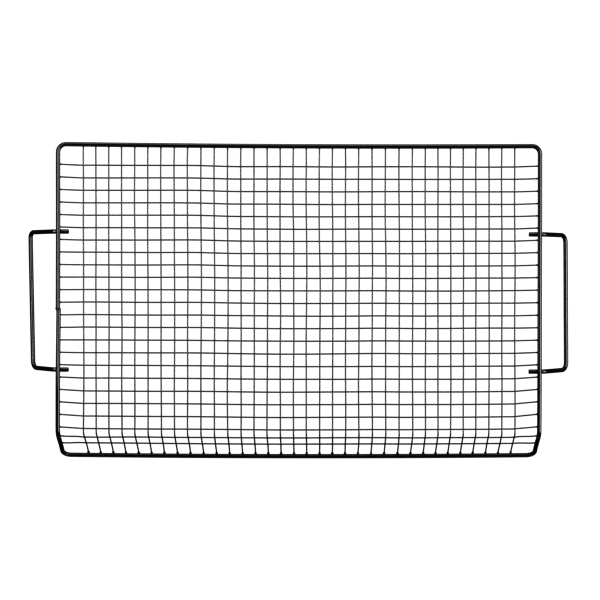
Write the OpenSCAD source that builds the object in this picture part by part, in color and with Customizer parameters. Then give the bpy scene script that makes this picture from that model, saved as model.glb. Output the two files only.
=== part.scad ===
// A wire cooling rack: a bent rod frame with a lip folded down at the front, a welded wire mesh
// and a U handle on each side. It stands on the lip and on the two grips.
// +X is to the right, +Y to the back and +Z up. The origin is on the floor, under the middle.

/* [Frame] */
// Outside width of the frame
frame_w = 635; // [560:1:770]
// Depth of the flat deck, from the middle of the back rail to the fold of the lip
deck_depth = 379; // [315:1:460]
// Diameter of the frame rod
rail_d = 5.5; // [4.5:0.1:6.8]
// Radius of the frame's corners, to the middle of the rod
corner_r = 10.5; // [8:0.5:20]
// Distance from the middle of the back rail to the weld that closes the frame
butt_weld_at = 214.7; // [150:0.1:260]

/* [Lip] */
// How far the lip drops, between the middle of the deck's rod and the middle of the lip's rod
lip_drop = 43; // [35:1:60]
// How steeply the lip folds down
lip_angle = 55; // [45:1:65]
// Radius of the fold, to the middle of the frame rod
fold_r = 8; // [7:0.5:12]

/* [Mesh] */
// Diameter of the mesh wires
wire_d = 1.6; // [1.2:0.1:2]
// Number of cross wires, which run from back to front
cross_count = 34; // [24:1:38]
// Distance from the middle of a side rail to the nearest cross wire
side_strip = 32.5; // [27:0.5:45]
// Number of long wires, which run from left to right
long_count = 24; // [20:1:24]
// Distance from the middle of the back rail to the first long wire
back_strip = 25.9; // [20:0.1:40]
// Distance along the mesh from the last long wire to the middle of the front rail
front_strip = 23.3; // [19:0.1:35]
// How steeply the ends of a long wire rise to the side rails
rise_angle = 5; // [5:0.5:8]
// Radius of the bends in a long wire's end
rise_r = 8; // [4:1:12]

/* [Handles] */
// Diameter of the handle rod
handle_d = 5.5; // [4.5:0.1:6.8]
// Distance from the middle of a side rail out to the middle of its grip
handle_reach = 41; // [34:1:60]
// Distance that an arm runs out level from the middle of the side rail before it bends down
handle_level = 7; // [6:0.5:9]
// Distance from the middle of the side rail in to the end of an arm's stub
stub_reach = 13.2; // [8:0.1:17]
// Radius of an arm's bend, to the middle of the rod
arm_bend_r = 6; // [5:0.5:7]
// Radius of a grip's corners, to the middle of the rod
grip_corner_r = 10; // [8:0.5:20]
// Long wire that the back arm of a handle lies in front of
back_arm_wire = 6; // [4:1:8]
// Long wire that the front arm of a handle lies in front of
front_arm_wire = 17; // [14:1:18]
// Gap between those wires and the arms of the left handle
left_arm_gap = 1.7; // [1:0.1:5]
// Gap between those wires and the arms of the right handle
right_arm_gap = 4.4; // [1:0.1:5]

/* [Welds] */
// Thickness of weld metal between two rods at the closest point
weld_film = 0.2; // [0.1:0.05:0.3]
// Length of the weld that closes the frame
butt_weld_l = 2; // [1:0.5:4]
// Height of that weld above the rod's surface
butt_weld_rise = 0.3; // [0.1:0.1:0.6]
// Length of the flared weld at the end of a wire
flare_l = 3.2; // [2:0.1:5]
// Diameter of its wide end, near the rail
flare_d = 3.4; // [3:0.1:4]
// Wall of its narrow end, around the wire
flare_tip = 0.15; // [0.1:0.05:0.4]
// Distance from the end of the wire to the wide end of the flare
flare_back = 0.8; // [0.5:0.1:1.5]
// Diameter of the weld between an arm and a side rail
arm_weld_d = 4.4; // [3.6:0.1:4.4]

/* [Hidden] */
$fn = 48;
// How much thicker a bend is than its straights, and how far they run into it.
bend_swell = 0.02;
bend_overlap = 0.1;
rod_colour = [0.12, 0.12, 0.13];
wire_colour = [0.2, 0.2, 0.21];
weld_colour = [0.07, 0.07, 0.07];

// Depth of the middle of a welded wire, or of an arm, under the middle of its rail.
wire_stack = rail_d / 2 + weld_film + wire_d / 2;
arm_stack = rail_d / 2 + weld_film + handle_d / 2;

// The lip stands on its rail, or on the wire ends or their welds where those reach lower.
wire_end_foot = (wire_stack + wire_d / 2) * cos(lip_angle);
flare_foot = (wire_stack + flare_d / 2) * cos(lip_angle) - flare_back * sin(lip_angle);
lip_rail_z = max(rail_d / 2, wire_end_foot, flare_foot);
deck_z = lip_rail_z + lip_drop;

lip_length = lip_drop / sin(lip_angle);
lip_plan = lip_length * cos(lip_angle);
rail_x = (frame_w - rail_d) / 2;
back_y = (deck_depth + lip_plan) / 2;

// The mesh is measured along the cross wires, from the middle of the back rail. It is flat as
// far as the fold, goes round it in an arc, and is straight down the lip.
fold_set_back = fold_r * tan(lip_angle / 2);
mesh_fold_r = fold_r - wire_stack;
flat_run = deck_depth - fold_set_back;
fold_run = mesh_fold_r * lip_angle * PI / 180;
lip_run = lip_length - fold_set_back;
cross_pitch = 2 * (rail_x - side_strip) / (cross_count - 1);
long_pitch = (flat_run + fold_run + lip_run - back_strip - front_strip) / (long_count - 1);

// A long wire drops by its own diameter between the side rail and the first cross wire.
rise_plan = wire_d / tan(rise_angle);
rise_length = wire_d / sin(rise_angle);
rise_set_back = rise_r * tan(rise_angle / 2);
level_end = (side_strip - rise_plan) / 2;

arm_z = deck_z - arm_stack;
arm_out = handle_reach - handle_level;
arm_down = arm_z - handle_d / 2;
arm_angle = atan2(arm_down, arm_out);
arm_length = norm([arm_out, arm_down]);
arm_set_back = arm_bend_r * tan(arm_angle / 2);
arm_spacing = (front_arm_wire - back_arm_wire) * long_pitch;

// Two neighbouring long wires share a node.
pair_count = ceil(long_count / 2);

function numbered(name, i) = str(name, "_", i < 10 ? "0" : "", i);

// Place along the mesh of a long wire, and how much the mesh is tilted there.
function long_wire_run(k) = back_strip + (k - 1) * long_pitch;
function mesh_tilt(run) = run <= flat_run ? 0 : min(lip_angle, (run - flat_run) / fold_run * lip_angle);

// Point on the middle of a wire that is welded straight to the rails, at a place along the mesh.
function mesh_y(run) = back_y - min(run, flat_run)
    - mesh_fold_r * sin(mesh_tilt(run))
    - max(0, run - flat_run - fold_run) * cos(lip_angle);
function mesh_z(run) = deck_z - fold_r
    + mesh_fold_r * cos(mesh_tilt(run))
    - max(0, run - flat_run - fold_run) * sin(lip_angle);

function cross_wire_x(i) = side_strip - rail_x + (i - 1) * cross_pitch;

// Middle of the back arm of a handle, for the gap between it and the long wire behind it.
function back_arm_y(gap) = mesh_y(long_wire_run(back_arm_wire)) - wire_d / 2 - gap - handle_d / 2;

// A rod that starts at the origin along +Z and is bent step by step. Each step is
// [straight length, bend angle, turn, bend radius]: the turn rolls the rod about its own line
// before the bend, and the bend is towards +X. The last step is a straight length alone.
// The straights run a little way into the bends, which are a hair thicker, to join as one solid.
module bent_rod(d, steps, i = 0) {
    last = i == len(steps) - 1;
    lead = i == 0 ? 0 : bend_overlap;
    tail = last ? 0 : bend_overlap;
    translate([0, 0, -lead])
        cylinder(h = lead + steps[i][0] + tail, d = d);
    if (!last) {
        r = steps[i][3];
        translate([0, 0, steps[i][0]])
            rotate([0, 0, steps[i][2]])
                translate([r, 0, 0]) {
                    rotate([90, 0, 180])
                        rotate_extrude(angle = steps[i][1])
                            translate([r, 0])
                                circle(d = d + bend_swell);
                    rotate([0, steps[i][1], 0])
                        translate([-r, 0, 0])
                            bent_rod(d, steps, i + 1);
                }
    }
}

module frame_rod() {
    rail_run = 2 * (rail_x - corner_r);
    lip_side = lip_run - corner_r;
    color(rod_colour)
        translate([-rail_x, back_y - butt_weld_at + butt_weld_l / 2, deck_z])
            rotate([-90, 0, 0])
                bent_rod(rail_d, [
                    [butt_weld_at - butt_weld_l / 2 - corner_r, 90, 0, corner_r],
                    [rail_run, 90, 0, corner_r],
                    [flat_run - corner_r, lip_angle, 90, fold_r],
                    [lip_side, 90, -90, corner_r],
                    [rail_run, 90, 0, corner_r],
                    [lip_side, lip_angle, 90, fold_r],
                    [flat_run - butt_weld_at - butt_weld_l / 2]
                ]);
}

module frame_butt_weld() {
    color(weld_colour)
        translate([-rail_x, back_y - butt_weld_at, deck_z])
            rotate([90, 0, 0])
                cylinder(h = butt_weld_l, d = rail_d + 2 * butt_weld_rise, center = true);
}

module cross_wire(i) {
    color(wire_colour)
        translate([cross_wire_x(i), back_y, deck_z - wire_stack])
            rotate([90, 90, 0])
                bent_rod(wire_d, [[flat_run, lip_angle, 0, mesh_fold_r], [lip_run]]);
}

module long_wire(k) {
    level = level_end - rise_set_back;
    rise = rise_length - 2 * rise_set_back;
    middle = 2 * (rail_x - level_end - rise_plan - rise_set_back);
    on_mesh(k)
        translate([-rail_x, 0, 0])
            rotate([0, 90, 0])
                bent_rod(wire_d, [
                    [level, rise_angle, 0, rise_r],
                    [rise, rise_angle, 180, rise_r],
                    [middle, rise_angle, 0, rise_r],
                    [rise, rise_angle, 180, rise_r],
                    [level]
                ]);
}

// Places its children at long wire k, with the mesh's own tilt there.
module on_mesh(k) {
    run = long_wire_run(k);
    translate([0, mesh_y(run), mesh_z(run)])
        rotate([mesh_tilt(run), 0, 0])
            children();
}

module long_wire_pair(pair) {
    color(wire_colour)
        for (k = [2 * pair - 1 : min(2 * pair, long_count)]) long_wire(k);
}

// A handle on the right side, with the middle of its back arm at the given place.
module handle(back_y_of_arm) {
    slope = arm_length - arm_set_back - grip_corner_r;
    level = stub_reach + handle_level - arm_set_back;
    translate([rail_x - stub_reach, back_y_of_arm, arm_z])
        rotate([0, 90, 0])
            bent_rod(handle_d, [
                [level, arm_angle, 0, arm_bend_r],
                [slope, 90, -90, grip_corner_r],
                [arm_spacing - 2 * grip_corner_r, 90, 0, grip_corner_r],
                [slope, arm_angle, 90, arm_bend_r],
                [level]
            ]);
}

// The two welds of a handle on the right side: weld metal between each arm and the rail.
module handle_welds(back_y_of_arm) {
    for (y = [back_y_of_arm, back_y_of_arm - arm_spacing])
        translate([rail_x, y, arm_z])
            difference() {
                cylinder(h = arm_stack, d = arm_weld_d);
                rotate([0, 90, 0])
                    cylinder(h = 2 * arm_weld_d, d = handle_d, center = true);
                translate([0, 0, arm_stack])
                    rotate([90, 0, 0])
                        cylinder(h = 2 * arm_weld_d, d = rail_d, center = true);
            }
}

module left_handle() {
    color(rod_colour) mirror([1, 0, 0]) handle(back_arm_y(left_arm_gap));
}

module right_handle() {
    color(rod_colour) handle(back_arm_y(right_arm_gap));
}

module left_handle_welds() {
    color(weld_colour) mirror([1, 0, 0]) handle_welds(back_arm_y(left_arm_gap));
}

module right_handle_welds() {
    color(weld_colour) handle_welds(back_arm_y(right_arm_gap));
}

// The flared weld at the end of a wire. The wire runs in along -Y from the origin, and the rail
// lies across it, above.
module wire_weld() {
    difference() {
        translate([0, -flare_back, 0])
            rotate([90, 0, 0])
                cylinder(h = flare_l, d1 = flare_d, d2 = wire_d + 2 * flare_tip);
        translate([0, 0, wire_stack])
            rotate([0, 90, 0])
                cylinder(h = 2 * flare_d, d = rail_d, center = true);
        rotate([90, 0, 0])
            cylinder(h = 2 * flare_l, d = wire_d);
    }
}

module back_wire_welds() {
    color(weld_colour)
        for (i = [1:cross_count])
            translate([cross_wire_x(i), back_y, deck_z - wire_stack]) wire_weld();
}

module front_wire_welds() {
    end = flat_run + fold_run + lip_run;
    color(weld_colour)
        for (i = [1:cross_count])
            translate([cross_wire_x(i), mesh_y(end), mesh_z(end)])
                rotate([lip_angle, 0, 0])
                    rotate([0, 0, 180])
                        wire_weld();
}

// The welds of the long wires on the right side.
module side_wire_welds() {
    for (k = [1:long_count])
        on_mesh(k)
            translate([rail_x, 0, 0])
                rotate([0, 0, -90])
                    wire_weld();
}

module left_wire_welds() {
    color(weld_colour) mirror([1, 0, 0]) side_wire_welds();
}

module right_wire_welds() {
    color(weld_colour) side_wire_welds();
}

frame_rod();
frame_butt_weld();
left_handle();
right_handle();
left_handle_welds();
right_handle_welds();
back_wire_welds();
front_wire_welds();
left_wire_welds();
right_wire_welds();
for (i = [1:cross_count])
    cross_wire(i);
for (i = [1:pair_count])
    long_wire_pair(i);
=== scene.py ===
"""A wire cooling rack: a bent rod frame with a lip folded down at the front, a welded wire
mesh, and a U handle on each side. Each CAD node is replaced by a piece with the small
irregularities of a real one: rails that bow, wires that wander, weld metal and a coat of
black enamel.

All lengths are in metres, in the CAD model's frame: +X is right, +Y back and +Z up. A run is
a distance along the mesh, from the middle of the back rail over the fold to the front rail.
"""

import math

import bpy
import numpy as np
from mathutils import Matrix, Vector, noise


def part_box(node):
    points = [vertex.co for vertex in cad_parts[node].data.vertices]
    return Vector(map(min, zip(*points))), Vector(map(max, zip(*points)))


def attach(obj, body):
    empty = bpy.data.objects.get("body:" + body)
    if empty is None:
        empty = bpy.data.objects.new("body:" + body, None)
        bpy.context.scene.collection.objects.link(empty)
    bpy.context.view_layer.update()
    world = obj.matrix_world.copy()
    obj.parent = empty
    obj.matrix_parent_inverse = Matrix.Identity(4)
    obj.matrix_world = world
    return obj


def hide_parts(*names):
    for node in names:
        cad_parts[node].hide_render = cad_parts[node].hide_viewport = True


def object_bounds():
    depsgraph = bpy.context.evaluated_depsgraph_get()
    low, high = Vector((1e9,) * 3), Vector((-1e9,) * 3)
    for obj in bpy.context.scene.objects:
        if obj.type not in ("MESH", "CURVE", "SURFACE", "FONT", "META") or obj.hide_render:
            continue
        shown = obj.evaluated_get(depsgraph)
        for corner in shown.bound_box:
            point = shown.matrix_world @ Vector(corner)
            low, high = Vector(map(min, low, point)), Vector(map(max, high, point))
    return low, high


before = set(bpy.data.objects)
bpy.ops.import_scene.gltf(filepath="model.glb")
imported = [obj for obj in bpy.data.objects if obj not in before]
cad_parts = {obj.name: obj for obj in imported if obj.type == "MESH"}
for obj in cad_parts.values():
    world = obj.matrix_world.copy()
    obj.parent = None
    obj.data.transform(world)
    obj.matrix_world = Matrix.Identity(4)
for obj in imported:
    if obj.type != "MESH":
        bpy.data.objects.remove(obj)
cad_low, cad_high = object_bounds()

MM = 0.001
QUARTER = math.pi / 2

# What the CAD source says of the rods and wires.
ROD_R = 2.75 * MM
WIRE_R = 0.8 * MM
WELD_FILM = 0.2 * MM
CORNER_R = 10.5 * MM
FOLD_R = 8 * MM
LIP_ANGLE = math.radians(55)
RISE_PLAN = 18.3 * MM
RISE_START = 7.1 * MM
BUTT_WELD_L = 2 * MM
ARM_BEND_R = 6 * MM
GRIP_CORNER_R = 10 * MM
ARM_LEVEL = 7 * MM
STACK = ROD_R + WELD_FILM + WIRE_R

# How the real frame rod strays from the drawing.
ROD_FOLD_R = 12 * MM
BACK_BOW = 1.6 * MM
FRONT_BOW = 1.75 * MM
BACK_SKEW = 0.8 * MM
FRONT_SKEW = -0.25 * MM
TAPER = 0.35 * MM
RIGHT_STAND = 0.25 * MM
LIP_PINCH = 1.15 * MM
PINCH_SPAN = (164 * MM, 194 * MM)
ROD_WAVE = 0.2 * MM
ROD_WAVE_EDGE = 50 * MM
BUTT_STEP = 0.85 * MM
BUTT_FADE = 111 * MM

# How the real handles stray.
LEFT_GRIP_LEAN = -0.021
RIGHT_GRIP_LEAN = -0.007
LEFT_BACK_CORNER_R = 7 * MM
LEFT_FRONT_CORNER_R = 8.8 * MM
RIGHT_GRIP_SET_IN = 0.25 * MM
GRIP_PINCH = 0.7 * MM
GRIP_WAVE = 0.12 * MM
RIGHT_ARM_SHIFT = 1.1 * MM

# How the mesh strays. A span is where a smooth step starts and ends, and a bump is a centre
# and a width. Both are shares of the way across or along the mesh, or metres to the right.
SET_DOWN = 0.25 * MM
DECK_WAVE = 0.7 * MM
DECK_WAVE_EDGE = 60 * MM

# Cross wires, to the right of an even spacing, and how they wander.
CROSS_STEPS = ((1.9 * MM, (-0.75, -0.1)), (0.6 * MM, (0.2, 0.4)))
CROSS_BUMPS = ((0.9 * MM, (-1, 0.04)), (-0.5 * MM, (-0.72, 0.2)), (1.4 * MM, (0.53, 0.11)))
CROSS_FADE = 0.6
CROSS_FADE_SPAN = (0.6, 1.0)
CROSS_LEAN = 0.5 * MM
CROSS_PLACE = 0.35
CROSS_SHARED = 0.6
CROSS_OWN = 0.8
CROSS_FREE = 30 * MM
BACK_LEAN = 0.75 * MM
BACK_LEAN_RUN = 200 * MM
LIP_SHIFT = 0.4 * MM

# Long wires: early is to the back of an even spacing, and late is to the front.
END_EARLY = 0.7 * MM
RIGHT_END_EARLY = 1.1 * MM
END_EARLY_SPAN = (0.15, 0.4)
FRONT_END_EARLY = 1.9 * MM
FRONT_END_SPAN = (0.6, 0.95)
BACK_LATE = 0.6 * MM
PULL = 1.7 * MM
PULL_SPAN = (-145 * MM, -75 * MM)
FRONT_PULL = 0.4 * MM
FRONT_PULL_SPAN = (-100 * MM, -20 * MM)
FRONT_DENT = 0.5 * MM
FRONT_DENT_BUMP = (100 * MM, 30 * MM)
MIDDLE_EARLY = 1.6 * MM
MIDDLE_EARLY_SPAN = (0.15, 0.5)
MIDDLE_EARLY_FADE = 0.85
MIDDLE_FADE_SPAN = (0.65, 0.95)
LEFT_LATE = 0.4 * MM
LEFT_LATE_SPAN = (-270 * MM, -150 * MM)
ALL_EARLY = 0.25 * MM
FOLD_WIRE = 22
FOLD_WIRE_END = 2.2 * MM
FOLD_WIRE_KINK = 1.4 * MM
FOLD_WIRE_BUMP = (-265 * MM, 40 * MM)
LONG_WANDER = 0.35 * MM
LONG_PLACE = 0.6
LONG_SHARED = 0.6
LONG_OWN = 0.7

# Weld metal. A profile holds the distance from the rail and the radius.
FLARE_ROOT = ((0.1 * MM, 0.9 * MM), (0.35 * MM, 1.4 * MM))
FLARE_BELLY = ((0.8 * MM, 1.65 * MM), (1.4 * MM, 1.55 * MM), (2.0 * MM, 1.3 * MM))
FLARE_NECK = ((2.7 * MM, 1.05 * MM), (3.4 * MM, 0.92 * MM))
FLARE_TIP = ((4.1 * MM, 0.83 * MM), (4.5 * MM, 0.7 * MM))
FLARE_AIM = 5 * MM
FLARE_SIZES = 0.12
FLARE_ROUGH = 0.22
FLARE_GRAIN = 700
CROSSING_WELD = (1.0 * MM, 1.0 * MM, 0.95 * MM)
CROSSING_SIZES = 0.1
CROSSING_ROUGH = 0.25
HANDLE_WELD = (2.9 * MM, 2.9 * MM, 1.5 * MM)
HANDLE_WELD_ROUGH = 0.35
BEAD_HALF = 1.7 * MM
BEAD_SET_IN = 0.15 * MM
BEAD_SWELL = 0.5 * MM
BEAD_LUMPS = 0.14 * MM
BEAD_GRAIN = 900

# How finely the pieces are divided.
ROD_SIDES = 32
WIRE_SIDES = 14
BEAD_SIDES = 40
BEAD_RINGS = 15
RAIL_SPACING = 4 * MM
HANDLE_SPACING = 3 * MM
BEND_STEP = math.radians(5)
SAME_PLACE = 0.02 * MM
BUTT_CHAMFER = 0.5 * MM
STUB_CHAMFER = 0.35 * MM
WIRE_CHAMFER = 0.1 * MM
SHARP_ANGLE = math.radians(40)
FLAT_RINGS = 84
FOLD_RINGS = 12
LIP_RINGS = 14
RISE_ZONE = 34 * MM
RISE_RINGS = 18
INSIDE_RINGS = 122

# Smooth noise: how its seed moves it, and a seed for each thing that wanders.
SEED_STEPS = (7.31, 3.17, 1.93)
NOISE_GAIN = 1.6
DECK_SEED = 3
CROSS_SHARED_SEED = 11
CROSS_OWN_SEED = 20
CROSS_PLACE_SEED = 60
LONG_SHARED_SEED = 17
LONG_PLACE_SEED = 100
LONG_OWN_SEED = 130
ROD_SEED = 41
GRIP_SEED = 50
CROSSING_SEED = 70
BACK_FLARE_SEED = 200
FRONT_FLARE_SEED = 300
LEFT_FLARE_SEED = 350
RIGHT_FLARE_SEED = 450
HANDLE_WELD_SEED = 31

# Where the CAD pieces are.
rod_low, rod_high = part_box("frame_rod")
RAIL_X = rod_high.x - ROD_R
BACK_Y = rod_high.y - ROD_R
FRONT_Y = rod_low.y + ROD_R
DECK_Z = rod_high.z - ROD_R
LIP_Z = rod_low.z + ROD_R
FLOOR_Z = cad_low.z - 0.05 * MM

LIP_LENGTH = (DECK_Z - LIP_Z) / math.sin(LIP_ANGLE)
FOLD_SET_BACK = FOLD_R * math.tan(LIP_ANGLE / 2)
MESH_FOLD_R = FOLD_R - STACK
FLAT_RUN = BACK_Y - FRONT_Y - LIP_LENGTH * math.cos(LIP_ANGLE) - FOLD_SET_BACK
FOLD_RUN = MESH_FOLD_R * LIP_ANGLE
LIP_RUN = LIP_LENGTH - FOLD_SET_BACK
MESH_RUN = FLAT_RUN + FOLD_RUN + LIP_RUN
LIP_SPAN = (FLAT_RUN - 4 * MM, MESH_RUN - 6 * MM)

CROSS_NODES = sorted(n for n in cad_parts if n.startswith("cross_wire"))
LONG_NODES = sorted(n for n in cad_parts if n.startswith("long_wire_pair"))


def middle(node):
    low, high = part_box(node)
    return (low + high) / 2


def long_wire_runs():
    """Where each long wire is along the mesh, if they are spaced evenly."""
    low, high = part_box(LONG_NODES[0])
    first = BACK_Y - (high.y - WIRE_R)
    pitch = high.y - low.y - 2 * WIRE_R
    return [first + k * pitch for k in range(2 * len(LONG_NODES))]


CROSS_X = [middle(n).x for n in CROSS_NODES]
LONG_RUN = long_wire_runs()
BUTT_Y = middle("frame_butt_weld").y


def smooth_step(value, start, end):
    """From 0 at the start to 1 at the end."""
    share = min(1.0, max(0.0, (value - start) / (end - start)))
    return share * share * (3 - 2 * share)


def bump(value, centre, width):
    return math.exp(-((value - centre) / width) ** 2)


def wander(seed, *place):
    """Smooth seeded noise from about -1 to 1."""
    spot = Vector((*place, 0.0, 0.0)[:3]) + Vector([seed * step for step in SEED_STEPS])
    return noise.noise(spot) * NOISE_GAIN


# ---------------------------------------------------------------- shape of the mesh


def bow(x, share):
    """How far the rack is bowed to the front, at a share of the way from back to front."""
    across = x / RAIL_X
    back = BACK_BOW * (1 - across ** 2) + BACK_SKEW * across
    front = FRONT_BOW * (1 - across ** 2) + FRONT_SKEW * across
    return back * (1 - share) + front * share


def mesh_tilt(run):
    return min(1.0, max(0.0, (run - FLAT_RUN) / FOLD_RUN)) * LIP_ANGLE


def mesh_point(x, run, depth=0.0):
    """Point at a depth under the layer of the cross wires."""
    tilt = mesh_tilt(run)
    past = max(0.0, run - FLAT_RUN - FOLD_RUN)
    radius = MESH_FOLD_R
    y = BACK_Y - min(run, FLAT_RUN) - radius * math.sin(tilt) - past * math.cos(LIP_ANGLE)
    z = DECK_Z - FOLD_R + radius * math.cos(tilt) - past * math.sin(LIP_ANGLE)
    up = Vector((0, -math.sin(tilt), math.cos(tilt)))
    edge = min(RAIL_X - abs(x), run, MESH_RUN - run)
    wave = DECK_WAVE * wander(DECK_SEED, x * 9, run * 9)
    wave *= smooth_step(edge, 0, DECK_WAVE_EDGE)
    return Vector((x, y - bow(x, run / MESH_RUN), z)) + up * (wave - depth)


def cross_drift(x):
    """How far the jig's slots put a cross wire to the right of an even spacing."""
    across = x / CROSS_X[-1]
    wide = sum(height * smooth_step(across, *span) for height, span in CROSS_STEPS)
    wide *= 1 - CROSS_FADE * smooth_step(across, *CROSS_FADE_SPAN)
    return wide + sum(height * bump(across, *place) for height, place in CROSS_BUMPS)


def cross_lean(i, run):
    """How far cross wire i is to the right of an even spacing, at a place along it."""
    free = smooth_step(min(run, MESH_RUN - run), 0, CROSS_FREE)
    shared = wander(CROSS_SHARED_SEED, CROSS_X[i] * 7, run * 7)
    own = wander(CROSS_OWN_SEED + i, run * 12)
    wild = CROSS_PLACE * wander(CROSS_PLACE_SEED + i, 0.5)
    wild += free * (CROSS_SHARED * shared + CROSS_OWN * own)
    lip = smooth_step(run, *LIP_SPAN)
    pulled_in = lip * (LIP_SHIFT - LIP_PINCH * CROSS_X[i] / RAIL_X)
    lean = BACK_LEAN * (1 - smooth_step(run, 0, BACK_LEAN_RUN))
    return cross_drift(CROSS_X[i]) - lean + pulled_in + CROSS_LEAN * wild


def cross_point(i, run):
    return mesh_point(CROSS_X[i] + cross_lean(i, run), run)


def end_drift(share, x):
    """How far the end of a long wire is to the front of an even spacing."""
    early = END_EARLY + (RIGHT_END_EARLY if x > 0 else 0.0)
    front_rows = FRONT_END_EARLY * smooth_step(share, *FRONT_END_SPAN)
    return -early * smooth_step(share, *END_EARLY_SPAN) - front_rows


def inner_drift(share, x):
    """The same inside the mesh, on top of the bow: a step where the panel was pulled, left of
    the middle and weaker at the front, and wires that sit early halfway along."""
    back = BACK_LATE + PULL * smooth_step(x, *PULL_SPAN) - bow(x, 0)
    pulled = FRONT_PULL * (1 - smooth_step(x, *FRONT_PULL_SPAN))
    front = -pulled - FRONT_DENT * bump(x, *FRONT_DENT_BUMP)
    fade = 1 - MIDDLE_EARLY_FADE * smooth_step(share, *MIDDLE_FADE_SPAN)
    early = MIDDLE_EARLY * smooth_step(share, *MIDDLE_EARLY_SPAN) * fade
    left = LEFT_LATE * (1 - smooth_step(x, *LEFT_LATE_SPAN))
    return back * (1 - share) + front * share - early + left - ALL_EARLY


def long_drift(k, x):
    """How far long wire k is to the front of its even place along the mesh."""
    inner = min(1.0, (RAIL_X - abs(x)) / (RAIL_X + CROSS_X[0]))
    share = min(1.0, LONG_RUN[k] / FLAT_RUN)
    drift = inner_drift(share, x) * inner + end_drift(share, x) * (1 - inner)
    if k == FOLD_WIRE:
        drift += FOLD_WIRE_KINK * bump(x, *FOLD_WIRE_BUMP) - FOLD_WIRE_END * (1 - inner)
    shared = wander(LONG_SHARED_SEED, x * 11, LONG_RUN[k] * 9)
    wild = LONG_PLACE * wander(LONG_PLACE_SEED + k, 0.5)
    wild += LONG_OWN * wander(LONG_OWN_SEED + k, x * 9) + LONG_SHARED * shared
    return drift + LONG_WANDER * inner * wild


def long_point(k, x):
    from_rail = RAIL_X - abs(x)
    drop = smooth_step(from_rail, RISE_START, RISE_START + RISE_PLAN)
    return mesh_point(x, LONG_RUN[k] + long_drift(k, x), drop * (2 * WIRE_R - SET_DOWN))


# ---------------------------------------------------------------- mesh building


def new_piece(name, vertices, faces, material, nodes):
    """A piece that rides on the rack and stands for CAD nodes."""
    mesh = bpy.data.meshes.new(name)
    mesh.from_pydata([tuple(v) for v in vertices], [], faces)
    mesh.validate()
    mesh.polygons.foreach_set("use_smooth", [True] * len(mesh.polygons))
    mesh.set_sharp_from_angle(angle=SHARP_ANGLE)
    mesh.materials.append(material)
    piece = bpy.data.objects.new(name, mesh)
    bpy.context.scene.collection.objects.link(piece)
    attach(piece, "root")
    if nodes:
        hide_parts(*nodes)


def tangents(points):
    ahead = np.roll(points, -1, 0) - points
    ahead[-1] = ahead[-2]
    behind = np.roll(ahead, 1, 0)
    behind[0] = ahead[0]
    ahead /= np.linalg.norm(ahead, axis=1)[:, None]
    behind /= np.linalg.norm(behind, axis=1)[:, None]
    both = ahead + behind
    return both / np.linalg.norm(both, axis=1)[:, None]


def first_side(line):
    """A direction square to the line."""
    side = np.cross(line, (0.13, 0.21, 0.97))
    if np.linalg.norm(side) < 0.2:
        side = np.cross(line, (1.0, 0.1, 0.0))
    return side


def tube_faces(rings, sides):
    """Faces of a tube of rings, with one face over each end."""
    faces = [tuple(range(sides))[::-1]]
    for r in range(rings - 1):
        for s in range(sides):
            t = (s + 1) % sides
            faces.append((r * sides + s, r * sides + t, (r + 1) * sides + t, (r + 1) * sides + s))
    faces.append(tuple(range((rings - 1) * sides, rings * sides)))
    return faces


def tube(points, radii, sides):
    """Vertices and faces of a round tube along points, with flat ends."""
    points = np.array([tuple(p) for p in points], float)
    along = tangents(points)
    side = first_side(along[0])
    turn = np.linspace(0, 2 * math.pi, sides, endpoint=False)
    rings = []
    for point, line, radius in zip(points, along, radii):
        side = side - line * (side @ line)
        side = side / np.linalg.norm(side)
        across = np.cross(line, side)
        ring = np.outer(np.cos(turn), side) + np.outer(np.sin(turn), across)
        rings.append(point + radius * ring)
    return np.concatenate(rings), tube_faces(len(points), sides)


def joined(parts):
    """Vertices and faces of several shapes as one."""
    vertices, faces, start = [], [], 0
    for part_vertices, part_faces in parts:
        vertices.extend(part_vertices)
        faces.extend(tuple(start + i for i in face) for face in part_faces)
        start += len(part_vertices)
    return vertices, faces


def chamfered(points, radius, chamfer):
    """Points and radii of a rod whose cut ends have a small chamfer."""
    points = [Vector(p) for p in points]
    first = (points[1] - points[0]).normalized()
    last = (points[-2] - points[-1]).normalized()
    full = [points[0], points[0] + first * chamfer] + points[1:-1]
    full += [points[-1] + last * chamfer, points[-1]]
    radii = [radius - chamfer, radius] + [radius] * (len(points) - 2) + [radius, radius - chamfer]
    return full, radii


def straight(start, end, spacing):
    count = max(1, round((end - start).length / spacing))
    return [start.lerp(end, i / count) for i in range(count)]


def bent_path(start, turned, steps, spacing):
    """Points along a rod that is bent step by step, like the rods of the CAD source. Each
    step is (straight length, bend angle, turn, bend radius). turned holds the first
    directions: its third column is the rod's, and its first is the side it bends to."""
    points, place, turned = [], Vector(start), turned.copy()
    for length, angle, turn, radius in steps:
        end = place + turned.col[2] * length
        points += straight(place, end, spacing)
        turned = turned @ Matrix.Rotation(math.radians(turn), 3, "Z")
        count = max(2, round(angle / BEND_STEP))
        hub = end + turned.col[0] * radius
        for i in range(count):
            part = turned @ Matrix.Rotation(angle * i / count, 3, "Y")
            points.append(hub - part.col[0] * radius)
        turned = turned @ Matrix.Rotation(angle, 3, "Y")
        place = hub - turned.col[0] * radius
    return points, place, turned


def directions(bend_side, rod):
    """The first directions of a bent path."""
    bend_side, rod = Vector(bend_side), Vector(rod)
    return Matrix((bend_side, rod.cross(bend_side), rod)).transposed()


def without_repeats(points):
    kept = [points[0]]
    for point in points[1:]:
        if (point - kept[-1]).length > SAME_PLACE:
            kept.append(point)
    return kept


# ---------------------------------------------------------------- rods


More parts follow.
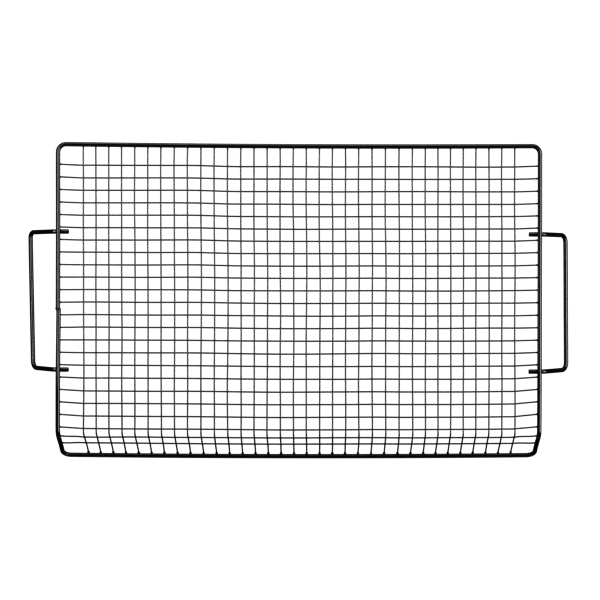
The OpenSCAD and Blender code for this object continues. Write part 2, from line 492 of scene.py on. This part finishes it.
def frame_path():
    """Middle of the frame rod, from the weld on the left rail round by the back to it."""
    rail_run = 2 * (RAIL_X - CORNER_R)
    set_back = ROD_FOLD_R * math.tan(LIP_ANGLE / 2)
    flat_side = FLAT_RUN + FOLD_SET_BACK - set_back
    lip_side = LIP_LENGTH - set_back - CORNER_R
    start = Vector((-RAIL_X, BUTT_Y + BUTT_WELD_L / 2, DECK_Z))
    points, place, turned = bent_path(start, directions((1, 0, 0), (0, 1, 0)), [
        (BACK_Y - start.y - CORNER_R, QUARTER, 0, CORNER_R),
        (rail_run, QUARTER, 0, CORNER_R),
        (flat_side - CORNER_R, LIP_ANGLE, 90, ROD_FOLD_R),
        (lip_side, QUARTER, -90, CORNER_R),
        (rail_run, QUARTER, 0, CORNER_R),
        (lip_side, LIP_ANGLE, 90, ROD_FOLD_R),
    ], RAIL_SPACING)
    end = Vector((place.x, BUTT_Y - BUTT_WELD_L / 2, place.z))
    points += straight(place, end, RAIL_SPACING) + [end]
    return without_repeats(points)


def strayed(point):
    """A point of the frame rod where the real rod has it."""
    x, y, z = point
    wave = ROD_WAVE * wander(ROD_SEED, y * 8, x * 4)
    wave *= smooth_step(BACK_Y - y, 0, ROD_WAVE_EDGE)
    share = (BACK_Y - y) / (BACK_Y - FRONT_Y)
    side = wave if abs(x) > RAIL_X - CORNER_R else 0.0
    side += RIGHT_STAND * smooth_step(x, 0, RAIL_X)
    side -= (TAPER * share + LIP_PINCH * smooth_step(-y, *PINCH_SPAN)) * x / RAIL_X
    if x < -RAIL_X + CORNER_R and y < BUTT_Y:
        side += BUTT_STEP * (1 - smooth_step(BUTT_Y - y, 0, BUTT_FADE))
    return Vector((x + side, y - bow(x, share), z))


def make_frame(material):
    points = [strayed(p) for p in frame_path()]
    points, radii = chamfered(points, ROD_R, BUTT_CHAMFER)
    vertices, faces = tube(points, radii, ROD_SIDES)
    new_piece("frame_ring", vertices, faces, material, ["frame_rod"])


def make_butt_weld(material):
    """The bead that closes the frame, squeezed out between two ends that do not quite meet."""
    points, radii = [], []
    for i in range(BEAD_RINGS):
        s = -1 + 2 * i / (BEAD_RINGS - 1)
        offset = BUTT_STEP * smooth_step(-s, -0.6, 0.6)
        points.append(Vector((-RAIL_X + offset, BUTT_Y + s * BEAD_HALF, DECK_Z)))
        radii.append(ROD_R - BEAD_SET_IN + BEAD_SWELL * math.sqrt(max(0.0, 1 - s * s)))
    vertices, faces = tube(points, radii, BEAD_SIDES)
    lumpy = []
    for v in vertices:
        around = Vector(v) - Vector((-RAIL_X + BUTT_STEP / 2, v[1], DECK_Z))
        swell = noise.noise(Vector(v) * BEAD_GRAIN) * BEAD_LUMPS
        lumpy.append(Vector(v) + around.normalized() * swell)
    new_piece("butt_bead", lumpy, faces, material, ["frame_butt_weld"])


def handle_path(box, side, back_corner, front_corner):
    """Middle of the rod of the handle in a box, right (side 1) or left (side -1) of the rack."""
    low, high = box
    outer = max(abs(low.x), abs(high.x)) - ROD_R
    inner = min(abs(low.x), abs(high.x))
    arm_z = high.z - ROD_R
    out = outer - RAIL_X - ARM_LEVEL
    down = arm_z - (low.z + ROD_R)
    angle = math.atan2(down, out)
    set_back = ARM_BEND_R * math.tan(angle / 2)
    slope = math.hypot(out, down) - set_back
    level = RAIL_X - inner + ARM_LEVEL - set_back
    grip = high.y - low.y - 2 * ROD_R - back_corner - front_corner
    start = Vector((inner, high.y - ROD_R, arm_z))
    points, place, turned = bent_path(start, directions((0, 0, -1), (1, 0, 0)), [
        (level, angle, 0, ARM_BEND_R),
        (slope - back_corner, QUARTER, -90, back_corner),
        (grip, QUARTER, 0, front_corner),
        (slope - front_corner, angle, 90, ARM_BEND_R),
    ], HANDLE_SPACING)
    end = place + turned.col[2] * level
    points += straight(place, end, HANDLE_SPACING) + [end]
    points = without_repeats(points)
    return [Vector((p.x * side, p.y, p.z)) for p in points], outer


def arm_shift(box, y, side):
    """How far a handle's front arm is welded back of its place. Its back arm is in place."""
    low, high = box
    front = (high.y - y) / (high.y - low.y)
    return front * (RIGHT_ARM_SHIFT if side > 0 else 0.0)


def handle_stray(box, point, side, lean, set_in, outer):
    """How far a point of the real handle is from its place: its grip leans and is pinched."""
    low, high = box
    share = min(1.0, max(0.0, (abs(point.x) - RAIL_X) / (outer - RAIL_X)))
    front = (high.y - point.y) / (high.y - low.y)
    out = lean * (point.y - (low.y + high.y) / 2) - set_in
    out += GRIP_WAVE * wander(GRIP_SEED + side, point.y * 14)
    back = GRIP_PINCH * front * share + arm_shift(box, point.y, side)
    return Vector((out * share, back, 0))


def make_handle(name, node, side, corners, lean, set_in, material):
    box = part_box(node)
    points, outer = handle_path(box, side, *corners)
    real = [p + handle_stray(box, p, side, lean, set_in, outer) for p in points]
    real, radii = chamfered(real, ROD_R, STUB_CHAMFER)
    vertices, faces = tube(real, radii, ROD_SIDES)
    new_piece(name, vertices, faces, material, [node])


# ---------------------------------------------------------------- wires


def cross_runs():
    """Places along the mesh where a cross wire has a ring of vertices."""
    flat = list(np.linspace(0, FLAT_RUN, FLAT_RINGS, endpoint=False))
    fold = list(np.linspace(FLAT_RUN, FLAT_RUN + FOLD_RUN, FOLD_RINGS, endpoint=False))
    lip = list(np.linspace(FLAT_RUN + FOLD_RUN, MESH_RUN, LIP_RINGS))
    return flat + fold + lip


def wire_tube(points):
    points, radii = chamfered(points, WIRE_R, WIRE_CHAMFER)
    return tube(points, radii, WIRE_SIDES)


def make_cross_wires(material):
    runs = cross_runs()
    for i, node in enumerate(CROSS_NODES):
        vertices, faces = wire_tube([cross_point(i, run) for run in runs])
        name = f"deck_wire_{i + 1:02d}"
        new_piece(name, vertices, faces, material, [node])


def long_places():
    """Places across the rack where a long wire has a ring of vertices."""
    ends = list(np.linspace(-RAIL_X, -RAIL_X + RISE_ZONE, RISE_RINGS, endpoint=False))
    inside = list(np.linspace(-RAIL_X + RISE_ZONE, RAIL_X - RISE_ZONE, INSIDE_RINGS))
    return ends + inside + [-x for x in reversed(ends)]


def make_long_wires(material):
    places = long_places()
    for pair, node in enumerate(LONG_NODES):
        wires = (2 * pair, 2 * pair + 1)
        parts = [wire_tube([long_point(k, x) for x in places]) for k in wires]
        vertices, faces = joined(parts)
        name = f"span_wires_{pair + 1:02d}"
        new_piece(name, vertices, faces, material, [node])


# ---------------------------------------------------------------- welds


def flare(start, ahead, seed):
    """The flared weld at the end of a wire, which leaves the rail at start."""
    line = (ahead - start).normalized()
    size = 1 + FLARE_SIZES * wander(seed, 0.3)
    belly = tuple((s, r * size) for s, r in FLARE_BELLY)
    profile = FLARE_ROOT + belly + FLARE_NECK + FLARE_TIP
    points = [start + line * s for s, r in profile]
    vertices, faces = tube(points, [r for s, r in profile], WIRE_SIDES)
    lumpy = []
    for v in vertices:
        v = Vector(v)
        foot = start + line * (v - start).dot(line)
        grain = noise.noise(v * FLARE_GRAIN + Vector((seed, seed * 0.7, 0)))
        lumpy.append(foot + (v - foot) * (1 + FLARE_ROUGH * grain))
    return lumpy, faces


def make_flares(name, node, ends, first_seed, material):
    """The welds of one rail. ends holds where each wire leaves it, and a place further on."""
    parts = [flare(start, ahead, first_seed + i) for i, (start, ahead) in enumerate(ends)]
    vertices, faces = joined(parts)
    new_piece(name, vertices, faces, material, [node])


def cross_ends(run, further):
    return [(cross_point(i, run), cross_point(i, further)) for i in range(len(CROSS_X))]


def long_ends(side):
    places = (side * RAIL_X, side * (RAIL_X - FLARE_AIM))
    return [tuple(long_point(k, x) for x in places) for k in range(len(LONG_RUN))]


def make_wire_welds(material):
    make_flares("back_flares", "back_wire_welds",
                cross_ends(0, FLARE_AIM), BACK_FLARE_SEED, material)
    make_flares("front_flares", "front_wire_welds",
                cross_ends(MESH_RUN, MESH_RUN - FLARE_AIM), FRONT_FLARE_SEED, material)
    make_flares("left_flares", "left_wire_welds", long_ends(-1), LEFT_FLARE_SEED, material)
    make_flares("right_flares", "right_wire_welds", long_ends(1), RIGHT_FLARE_SEED, material)


def lump_faces(rings, sides, count):
    """Faces of a lump of so many vertices, with a pole first and last."""
    faces = [(0, 1 + s, 1 + (s + 1) % sides) for s in range(sides)]
    for r in range(rings - 2):
        for s in range(sides):
            t = (s + 1) % sides
            a, b = 1 + r * sides, 1 + (r + 1) * sides
            faces.append((a + s, b + s, b + t, a + t))
    last = 1 + (rings - 2) * sides
    return faces + [(count - 1, last + (s + 1) % sides, last + s) for s in range(sides)]


def lump(centre, size, seed, rough, rings, sides):
    """A rounded lump with its poles above and below."""
    vertices = [centre + Vector((0, 0, size.z))]
    for r in range(1, rings):
        polar = math.pi * r / rings
        for s in range(sides):
            turn = 2 * math.pi * s / sides
            flat = math.sin(polar)
            way = Vector((flat * math.cos(turn), flat * math.sin(turn), math.cos(polar)))
            swell = 1 + rough * noise.noise(way * 1.3 + Vector((seed * 0.77, seed * 1.31, 0.4)))
            vertices.append(centre + way * size * swell)
    vertices.append(centre - Vector((0, 0, size.z)))
    return vertices, lump_faces(rings, sides, len(vertices))


def make_crossing_welds(material):
    """The small welds where the two layers of wire touch."""
    parts = []
    for k, run in enumerate(LONG_RUN):
        for i in range(len(CROSS_X)):
            x = cross_point(i, run).x
            centre = mesh_point(x, run + long_drift(k, x), WIRE_R - SET_DOWN / 2)
            bigger = 1 + CROSSING_SIZES * wander(CROSSING_SEED, i * 0.9, k * 0.9)
            size = Vector(CROSSING_WELD) * bigger
            parts.append(lump(centre, size, i + 40 * k, CROSSING_ROUGH, rings=6, sides=10))
    vertices, faces = joined(parts)
    new_piece("crossing_welds", vertices, faces, material, [])


def make_handle_welds(name, node, handle, side, material):
    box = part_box(handle)
    low, high = box
    z = (DECK_Z - ROD_R + high.z) / 2
    parts = []
    for n, y in enumerate((high.y - ROD_R, low.y + ROD_R)):
        centre = Vector((side * RAIL_X, y + arm_shift(box, y, side), z))
        seed = HANDLE_WELD_SEED * side + n
        size = Vector(HANDLE_WELD)
        parts.append(lump(centre, size, seed, HANDLE_WELD_ROUGH, rings=14, sides=24))
    vertices, faces = joined(parts)
    new_piece(name, vertices, faces, material, [node])


# ---------------------------------------------------------------- materials


def node_of(tree, kind, inputs=None, **settings):
    """Adds a shader node. Its inputs are values or other nodes' outputs."""
    made = tree.nodes.new(kind)
    for name, value in settings.items():
        setattr(made, name, value)
    for name, value in (inputs or {}).items():
        if isinstance(value, bpy.types.NodeSocket):
            tree.links.new(value, made.inputs[name])
        else:
            made.inputs[name].default_value = value
    return made


def grey(value, blue=None):
    """A grey, or a cool one with its own blue."""
    return (value, value, value if blue is None else blue, 1)


def ramp_of(tree, factor, *stops):
    """A colour ramp from (position, colour) stops."""
    ramp = node_of(tree, "ShaderNodeValToRGB", {"Fac": factor})
    for element, (position, colour) in zip(ramp.color_ramp.elements, stops):
        element.position = position
        element.color = colour
    return ramp.outputs["Color"]


def noise_of(tree, place, scale, detail, rough):
    found = node_of(tree, "ShaderNodeTexNoise", {
        "Vector": place, "Scale": scale, "Detail": detail, "Roughness": rough})
    return found.outputs["Fac"]


def mix_of(tree, factor, first, second):
    mixed = node_of(tree, "ShaderNodeMix", {0: factor, 6: first, 7: second}, data_type="RGBA")
    return mixed.outputs[2]


def bump_of(tree, height, distance, normal=None):
    inputs = {"Height": height, "Strength": 1.0, "Distance": distance}
    if normal is not None:
        inputs["Normal"] = normal
    return node_of(tree, "ShaderNodeBump", inputs).outputs["Normal"]


def worn_feet(tree, place):
    """From 0 to 1 where the coat is scuffed: patches of what touches the worktop."""
    height = node_of(tree, "ShaderNodeSeparateXYZ", {"Vector": place}).outputs["Z"]
    low = node_of(tree, "ShaderNodeMapRange", {
        "Value": height, "From Min": FLOOR_Z, "From Max": 0.9 * MM, "To Min": 1.0, "To Max": 0.0})
    patchy = noise_of(tree, place, scale=260, detail=4, rough=0.6)
    patches = ramp_of(tree, patchy, (0.48, grey(0.0)), (0.62, grey(1.0)))
    both = node_of(tree, "ShaderNodeMath", {0: low.outputs[0], 1: patches}, operation="MULTIPLY")
    return both.outputs[0]


def coat_colour(tree, place, scuffs, dark, light):
    """Mottled black, with small grey specks painted in as glints of dust and pits in the coat,
    and greyer where it is scuffed.
    """
    cloudy = noise_of(tree, place, scale=85, detail=5, rough=0.62)
    mottle = ramp_of(tree, cloudy, (0.3, dark), (0.72, light))
    # painted glints: the small grey specks in the base colour stand in for highlights on dust and
    # pits in the coat
    glint_noise = noise_of(tree, place, scale=1500, detail=2, rough=0.5)
    painted_glints = ramp_of(tree, glint_noise, (0.66, grey(0.0)), (0.74, grey(1.0)))
    mottle_with_painted_glints = mix_of(tree, painted_glints, mottle, grey(0.05, 0.052))
    return mix_of(tree, scuffs, mottle_with_painted_glints, (0.13, 0.125, 0.12, 1))


def coat_roughness(tree, place, scuffs, low, high):
    cloudy = noise_of(tree, place, scale=160, detail=4, rough=0.6)
    sheen = ramp_of(tree, cloudy, (0.25, grey(low)), (0.78, grey(high)))
    return mix_of(tree, scuffs, sheen, grey(0.62))


def coat_bumps(tree, place, peel, peel_scale, pits):
    """Orange peel, and small pits in it."""
    fine = bump_of(tree, noise_of(tree, place, scale=peel_scale, detail=2, rough=0.5), peel)
    pitted = noise_of(tree, place, scale=2600, detail=1, rough=0.5)
    sink = ramp_of(tree, pitted, (0.25, grey(0.0)), (0.4, grey(1.0)))
    return bump_of(tree, sink, pits, fine)


def enamel(name, dark, light, gloss, peel, peel_scale, pits):
    """A black coat over steel. gloss is its lowest and highest roughness."""
    material = bpy.data.materials.new(name)
    material.use_nodes = True
    tree = material.node_tree
    shader = tree.nodes["Principled BSDF"]
    place = node_of(tree, "ShaderNodeTexCoord").outputs["Object"]
    scuffs = worn_feet(tree, place)
    outputs = {
        "Base Color": coat_colour(tree, place, scuffs, dark, light),
        "Roughness": coat_roughness(tree, place, scuffs, *gloss),
        "Normal": coat_bumps(tree, place, peel, peel_scale, pits),
    }
    for socket, output in outputs.items():
        tree.links.new(output, shader.inputs[socket])
    shader.inputs["IOR"].default_value = 1.6
    return material


def rod_enamel():
    """Glossy enamel, thick enough on the rods for a soft orange peel."""
    return enamel("rod_enamel", dark=grey(0.006, 0.0065), light=grey(0.016, 0.0165),
                  gloss=(0.1, 0.15), peel=0.009 * MM, peel_scale=650, pits=0.006 * MM)


def wire_enamel():
    """The same coat on thin wire, where it is duller and shows the drawn steel under it."""
    return enamel("wire_enamel", dark=grey(0.008, 0.0085), light=grey(0.024, 0.025),
                  gloss=(0.2, 0.27), peel=0.008 * MM, peel_scale=1100, pits=0.006 * MM)


def weld_enamel():
    """The coat over weld metal: rough, pitted and a little darker."""
    return enamel("weld_enamel", dark=grey(0.004), light=grey(0.012),
                  gloss=(0.34, 0.55), peel=0.12 * MM, peel_scale=650, pits=0.03 * MM)


# ---------------------------------------------------------------- studio


def shown_white(tree, output, white, others):
    """A surface that is plain white to the camera and dimmer in reflections."""
    path = node_of(tree, "ShaderNodeLightPath")
    mixed = node_of(tree, "ShaderNodeMixShader", {
        0: path.outputs["Is Camera Ray"], 1: others, 2: white})
    tree.links.new(mixed.outputs[0], output)


def floor_sheet():
    """A sheet lit so well that the rack hardly shades it."""
    material = bpy.data.materials.new("floor_sheet")
    material.use_nodes = True
    tree = material.node_tree
    sheet = tree.nodes["Principled BSDF"]
    sheet.inputs["Base Color"].default_value = grey(0.02)
    sheet.inputs["Roughness"].default_value = 0.9
    sheet.inputs["Specular IOR Level"].default_value = 0.0
    glow = node_of(tree, "ShaderNodeEmission", {"Color": grey(1), "Strength": 1.0})
    added = node_of(tree, "ShaderNodeAddShader", {0: sheet.outputs[0], 1: glow.outputs[0]})
    output = tree.nodes["Material Output"].inputs["Surface"]
    shown_white(tree, output, added.outputs[0], sheet.outputs[0])
    return material


def make_floor():
    """A plain pale floor, which the rack stands on."""
    reach = 6.0
    square = ((-1, -1), (1, -1), (1, 1), (-1, 1))
    mesh = bpy.data.meshes.new("floor")
    mesh.from_pydata([(x * reach, y * reach, FLOOR_Z) for x, y in square], [], [(0, 1, 2, 3)])
    mesh.materials.append(floor_sheet())
    floor = bpy.data.objects.new("floor", mesh)
    bpy.context.scene.collection.objects.link(floor)


def make_world():
    world = bpy.data.worlds.new("studio")
    bpy.context.scene.world = world
    world.use_nodes = True
    tree = world.node_tree
    dim = tree.nodes["Background"]
    dim.inputs["Color"].default_value = grey(1)
    dim.inputs["Strength"].default_value = 0.12
    white = node_of(tree, "ShaderNodeBackground", {"Color": grey(1), "Strength": 1.0})
    output = tree.nodes["World Output"].inputs["Surface"]
    shown_white(tree, output, white.outputs[0], dim.outputs[0])


def make_softbox(name, centre, target, width, height, radiance):
    """A soft light of that size, facing the target. Its power keeps its face as bright."""
    data = bpy.data.lights.new(name, "AREA")
    data.shape = "RECTANGLE"
    data.size = width
    data.size_y = height
    data.energy = radiance * width * height * math.pi
    lamp = bpy.data.objects.new(name, data)
    lamp.location = centre
    lamp.rotation_euler = (Vector(target) - Vector(centre)).to_track_quat("-Z", "Y").to_euler()
    lamp.visible_camera = False
    bpy.context.scene.collection.objects.link(lamp)


def make_lights():
    """Long boxes on the four sides, for the lines of light along the rods."""
    middle_of_rack = (cad_low + cad_high) / 2
    make_softbox("right_wall", centre=(1.15, 0.0, 0.9), target=(RAIL_X, 0, DECK_Z),
                 width=1.3, height=1.4, radiance=11.0)
    make_softbox("left_box", centre=(-0.53, 0.14, 0.5), target=(-RAIL_X, 0.14, DECK_Z),
                 width=0.54, height=0.24, radiance=15.0)
    make_softbox("back_box", centre=(0.0, 1.3, 0.55), target=middle_of_rack,
                 width=1.8, height=0.8, radiance=8.0)
    make_softbox("front_fill", centre=(0.0, -1.6, 0.18), target=middle_of_rack,
                 width=1.8, height=0.26, radiance=4.5)


def make_camera():
    """Straight above the rack, on a long lens, a little off the middle of the picture."""
    middle_of_rack = (cad_low + cad_high) / 2
    right, back, up = 0.0154, 0.0211, 2.195
    data = bpy.data.cameras.new("camera")
    data.sensor_width = 36
    data.lens = 100.8
    data.shift_x = -0.0175
    data.shift_y = -0.0241667
    camera = bpy.data.objects.new("camera", data)
    camera.location = (middle_of_rack.x + right, middle_of_rack.y + back, DECK_Z + up)
    camera.rotation_euler = (0, 0, math.radians(0.1))
    bpy.context.scene.collection.objects.link(camera)
    bpy.context.scene.camera = camera


def set_view():
    """A low gamma darkens the soft edges of thin wires, like a sharply printed picture."""
    bpy.context.scene.view_settings.view_transform = "Standard"
    bpy.context.scene.view_settings.gamma = 0.44


def make_handles(rod, weld):
    left_corners = (LEFT_BACK_CORNER_R, LEFT_FRONT_CORNER_R)
    right_corners = (GRIP_CORNER_R, GRIP_CORNER_R)
    make_handle("left_grip", "left_handle", -1, left_corners, LEFT_GRIP_LEAN, 0.0, rod)
    make_handle("right_grip", "right_handle", 1, right_corners, RIGHT_GRIP_LEAN,
                RIGHT_GRIP_SET_IN, rod)
    make_handle_welds("left_grip_welds", "left_handle_welds", "left_handle", -1, weld)
    make_handle_welds("right_grip_welds", "right_handle_welds", "right_handle", 1, weld)


def make_rack():
    rod, wire, weld = rod_enamel(), wire_enamel(), weld_enamel()
    make_frame(rod)
    make_butt_weld(weld)
    make_handles(rod, weld)
    make_cross_wires(wire)
    make_long_wires(wire)
    make_wire_welds(weld)
    make_crossing_welds(weld)


make_camera()
make_world()
make_floor()
make_lights()
make_rack()
set_view()
